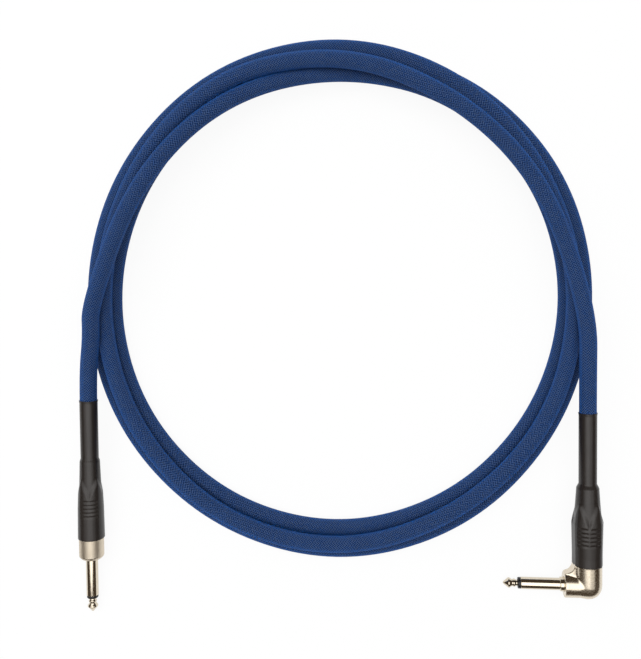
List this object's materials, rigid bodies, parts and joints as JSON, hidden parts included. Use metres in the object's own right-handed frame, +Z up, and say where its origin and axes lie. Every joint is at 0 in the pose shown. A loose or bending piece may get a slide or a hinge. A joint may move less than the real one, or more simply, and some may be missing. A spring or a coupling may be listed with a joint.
{
  "type": "instrument cable",
  "caption": "Woven-jacketed instrument lead coiled flat, with a straight and a right-angle 6.35 mm mono plug under dark shrunk sleeves.",
  "frame": {"origin": "on the floor, under the middle of the box round the two plugs, without the free cable", "axes": "+Z up from the floor that the cable lies on, +X from the straight plug towards the angle plug, +Y from the plugs towards the coil"},
  "size_m": [0.2807, 0.3079, 0.0286],
  "materials": {
    "woven_jacket": "tight blue weave with dark gaps",
    "heat_shrink": "matt charcoal shrunk sleeve",
    "boot_rubber": "moulded black",
    "satin_nickel": "warm satin nickel",
    "polished_nickel": "polished nickel",
    "black_plastic": "black moulded",
    "tinned_brass": "tinned",
    "solder": "bright solder",
    "copper": "bare copper strands",
    "inner_jacket": "black flexible jacket",
    "core_insulation": "natural"
  },
  "bodies": {
    "root": {"straight_tip_contact": "polished_nickel", "straight_tip_insulator": "black_plastic", "straight_sleeve": "polished_nickel", "straight_rod_liner": "black_plastic", "straight_ground_lug": "tinned_brass", "straight_tip_lug": "tinned_brass", "straight_ground_solder": "solder", "straight_tip_solder": "solder", "straight_chuck": "black_plastic", "straight_boot": "boot_rubber", "straight_heat_shrink": "heat_shrink", "straight_braid_end": "woven_jacket", "straight_inner_jacket": "inner_jacket", "straight_shield": "copper", "straight_core_insulation": "core_insulation", "straight_core_wire": "copper", "angle_tip_contact": "polished_nickel", "angle_tip_insulator": "black_plastic", "angle_sleeve": "polished_nickel", "angle_rod_liner": "black_plastic", "angle_ground_lug": "tinned_brass", "angle_tip_lug": "tinned_brass", "angle_ground_solder": "solder", "angle_tip_solder": "solder", "angle_chuck": "black_plastic", "angle_boot": "boot_rubber", "angle_heat_shrink": "heat_shrink", "angle_braid_end": "woven_jacket", "angle_inner_jacket": "inner_jacket", "angle_shield": "copper", "angle_core_insulation": "core_insulation", "angle_core_wire": "copper", "straight_shell": "satin_nickel", "angle_elbow_housing": "satin_nickel", "angle_nose_nut": "satin_nickel", "cord_coil": "woven_jacket", "cord_tail_straight": "woven_jacket", "cord_tail_angle": "woven_jacket"}
  },
  "joints": []
}
